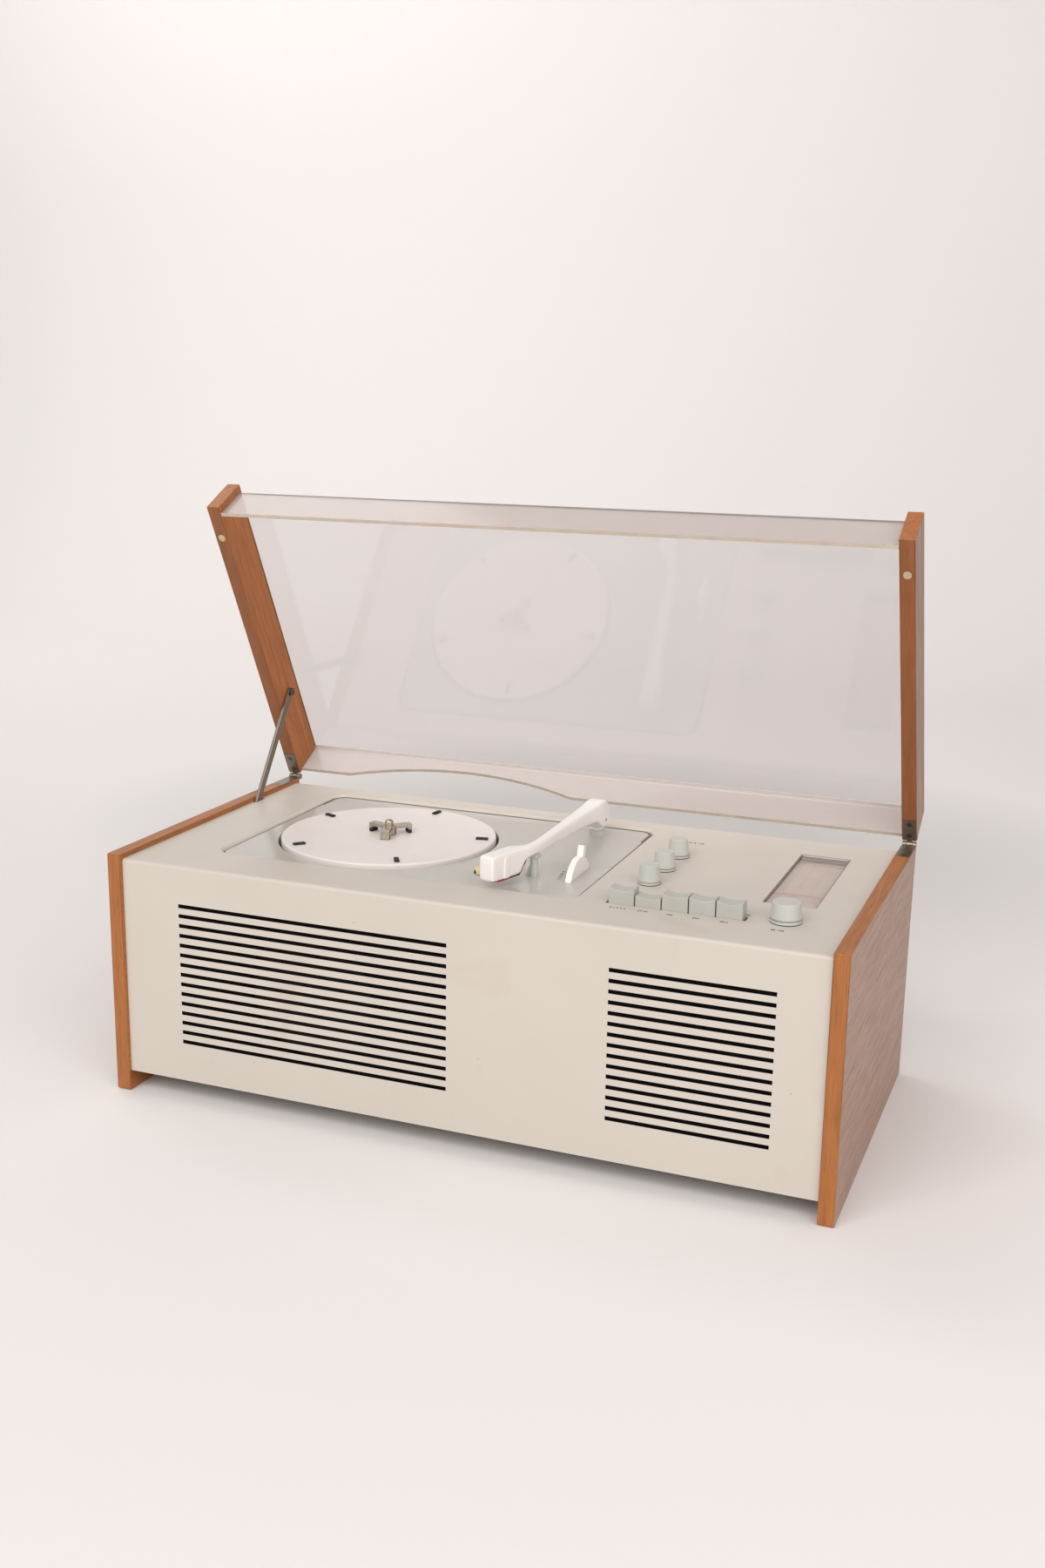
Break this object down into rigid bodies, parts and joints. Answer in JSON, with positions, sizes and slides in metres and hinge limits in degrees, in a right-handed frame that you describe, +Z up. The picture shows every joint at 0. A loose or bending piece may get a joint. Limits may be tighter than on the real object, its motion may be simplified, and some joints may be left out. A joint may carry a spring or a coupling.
{
  "type": "radio record player",
  "caption": "Table radio with a record player: folded steel cabinet between wooden side panels, slotted grilles, push keys, knobs, dial and a clear hinged lid.",
  "frame": {"origin": "on the floor, at the middle of the box round the object with its lid open as pictured", "axes": "+X to the right seen from the front, +Y to the rear, +Z up"},
  "size_m": [0.584, 0.3232, 0.4756],
  "materials": {
    "painted_steel": "cream enamel, semi-gloss, with small chips",
    "wood": "oiled elm, fine grain, rounded edges",
    "clear_acrylic": "clear acrylic sheet, polished, lightly scuffed",
    "deck_paint": "light grey enamel, satin",
    "white_plastic": "off-white, satin",
    "grey_plastic": "pale grey-green, soft gloss",
    "rest_plastic": "grey-green, slightly translucent",
    "rubber": "black, matt",
    "nickel": "dull nickel plate",
    "bright_steel": "polished",
    "brass": "aged",
    "plated_steel": "zinc plate",
    "black_board": "black, matt",
    "speaker_steel": "dark grey",
    "cone_paper": "black paper",
    "core_iron": "varnished laminations",
    "capacitor_alloy": "plain",
    "valve_glass": "clear bulb",
    "dial_pane": "clear pane",
    "dial_paint": "cream, matt",
    "pointer_red": "red",
    "cartridge_black": "black"
  },
  "bodies": {
    "cabinet": {"left_side_panel": "wood", "right_side_panel": "wood", "body_shell": "painted_steel", "base_plate": "plated_steel", "grille_backings": "black_board", "loudspeaker_basket": "speaker_steel", "loudspeaker_cone": "cone_paper", "radio_chassis": "plated_steel", "mains_transformer": "core_iron", "radio_valves": "valve_glass", "tuning_capacitor": "capacitor_alloy", "rear_socket_panel": "black_board", "mains_inlet": "black_board", "deck_plate": "deck_paint", "deck_grommets": "rubber", "platter_bearing": "brass", "drive_motor": "speaker_steel", "arm_post": "white_plastic", "arm_rest": "rest_plastic", "lever_bracket": "plated_steel", "key_frame": "plated_steel", "dial_scale": "dial_paint", "dial_window": "dial_pane", "control_pots": "plated_steel", "left_fixed_leaf": "nickel", "right_fixed_leaf": "nickel", "hinge_pins": "nickel", "cabinet_screws": "nickel"},
    "lid": {"left_lid_cheek": "wood", "right_lid_cheek": "wood", "lid_cover": "clear_acrylic", "lid_buffers": "brass", "left_moving_leaf": "nickel", "right_moving_leaf": "nickel", "lid_screws": "nickel"},
    "stay": {"lid_stay": "nickel"},
    "turntable": {"platter": "white_plastic", "platter_pads": "rubber", "spindle": "bright_steel"},
    "adapter": {"record_adapter": "nickel"},
    "idler": {"idler_wheel": "rubber"},
    "pulley": {"motor_pulley": "brass"},
    "yoke": {"arm_yoke": "white_plastic", "arm_pivot_pin": "bright_steel"},
    "arm": {"tonearm": "white_plastic", "cartridge": "cartridge_black", "stylus": "bright_steel", "finger_lift": "white_plastic"},
    "lever": {"speed_lever": "white_plastic"},
    "volume": {"volume_knob": "grey_plastic"},
    "bass": {"bass_knob": "grey_plastic"},
    "treble": {"treble_knob": "grey_plastic"},
    "tuner": {"tuning_knob": "grey_plastic"},
    "pointer": {"dial_pointer": "pointer_red"},
    "push_key_1": {"key_1": "grey_plastic"},
    "push_key_2": {"key_2": "grey_plastic"},
    "push_key_3": {"key_3": "grey_plastic"},
    "push_key_4": {"key_4": "grey_plastic"},
    "push_key_5": {"key_5": "grey_plastic"}
  },
  "joints": [
    {"name": "lid_hinge", "type": "hinge", "parent": "cabinet", "child": "lid", "pos_m": [0, 0.12882, 0.19925], "axis": [1, 0, 0], "range_deg": [0, 63]},
    {"name": "stay_pivot", "type": "hinge", "parent": "lid", "child": "stay", "pos_m": [-0.2784, 0.10743, 0.28419], "axis": [1, 0, 0], "range_deg": [-22, 0]},
    {"name": "platter_spin", "type": "hinge", "parent": "cabinet", "child": "turntable", "pos_m": [-0.12, -0.01018, 0.19], "axis": [0, 0, 1], "continuous": true},
    {"name": "idler_spin", "type": "hinge", "parent": "cabinet", "child": "idler", "pos_m": [-0.0872, -0.06699, 0.188], "axis": [0, 0, 1], "continuous": true},
    {"name": "pulley_spin", "type": "hinge", "parent": "cabinet", "child": "pulley", "pos_m": [-0.0994, -0.04586, 0.188], "axis": [0, 0, 1], "continuous": true},
    {"name": "adapter_lift", "type": "slide", "parent": "turntable", "child": "adapter", "axis": [0, 0, 1], "range_m": [0, 0.014]},
    {"name": "arm_swing", "type": "hinge", "parent": "cabinet", "child": "yoke", "pos_m": [0.034, 0.07442, 0.2062], "axis": [0, 0, 1], "range_deg": [-36, 0]},
    {"name": "arm_lift", "type": "hinge", "parent": "yoke", "child": "arm", "pos_m": [0.034, 0.07442, 0.2062], "axis": [-1, 0, 0], "range_deg": [0, 4.3]},
    {"name": "speed_lever_turn", "type": "hinge", "parent": "cabinet", "child": "lever", "pos_m": [0.0587, -0.04518, 0.1836], "axis": [1, 0, 0], "range_deg": [0, 37]},
    {"name": "key_1_push", "type": "slide", "parent": "cabinet", "child": "push_key_1", "axis": [0, 0, -1], "range_m": [0, 0.004], "stiffness_N_per_m": 300, "springref_m": -0.002},
    {"name": "key_2_push", "type": "slide", "parent": "cabinet", "child": "push_key_2", "axis": [0, 0, 1], "range_m": [0, 0.004]},
    {"name": "key_3_push", "type": "slide", "parent": "cabinet", "child": "push_key_3", "axis": [0, 0, -1], "range_m": [0, 0.004], "stiffness_N_per_m": 300, "springref_m": -0.002},
    {"name": "key_4_push", "type": "slide", "parent": "cabinet", "child": "push_key_4", "axis": [0, 0, -1], "range_m": [0, 0.004], "stiffness_N_per_m": 300, "springref_m": -0.002},
    {"name": "key_5_push", "type": "slide", "parent": "cabinet", "child": "push_key_5", "axis": [0, 0, -1], "range_m": [0, 0.004], "stiffness_N_per_m": 300, "springref_m": -0.002},
    {"name": "volume_turn", "type": "hinge", "parent": "cabinet", "child": "volume", "pos_m": [0.118, -0.04958, 0.2], "axis": [0, 0, 1], "range_deg": [-140, 140]},
    {"name": "bass_turn", "type": "hinge", "parent": "cabinet", "child": "bass", "pos_m": [0.118, -0.01008, 0.2], "axis": [0, 0, 1], "range_deg": [-140, 140]},
    {"name": "treble_turn", "type": "hinge", "parent": "cabinet", "child": "treble", "pos_m": [0.118, 0.02942, 0.2], "axis": [0, 0, 1], "range_deg": [-140, 140]},
    {"name": "tuning_turn", "type": "hinge", "parent": "cabinet", "child": "tuner", "pos_m": [0.234, -0.09818, 0.2], "axis": [0, 0, 1], "range_deg": [-267, 878]},
    {"name": "pointer_slide", "type": "slide", "parent": "cabinet", "child": "pointer", "axis": [0, 1, 0], "range_m": [-0.028, 0.092]}
  ],
  "couplings": [
    {"joint": "stay_pivot", "follows": "lid_hinge", "ratio": -0.3433},
    {"joint": "idler_spin", "follows": "platter_spin", "ratio": 4.3},
    {"joint": "pulley_spin", "follows": "platter_spin", "ratio": -21.5},
    {"joint": "pointer_slide", "follows": "tuning_turn", "m_per_rad": 0.006}
  ]
}
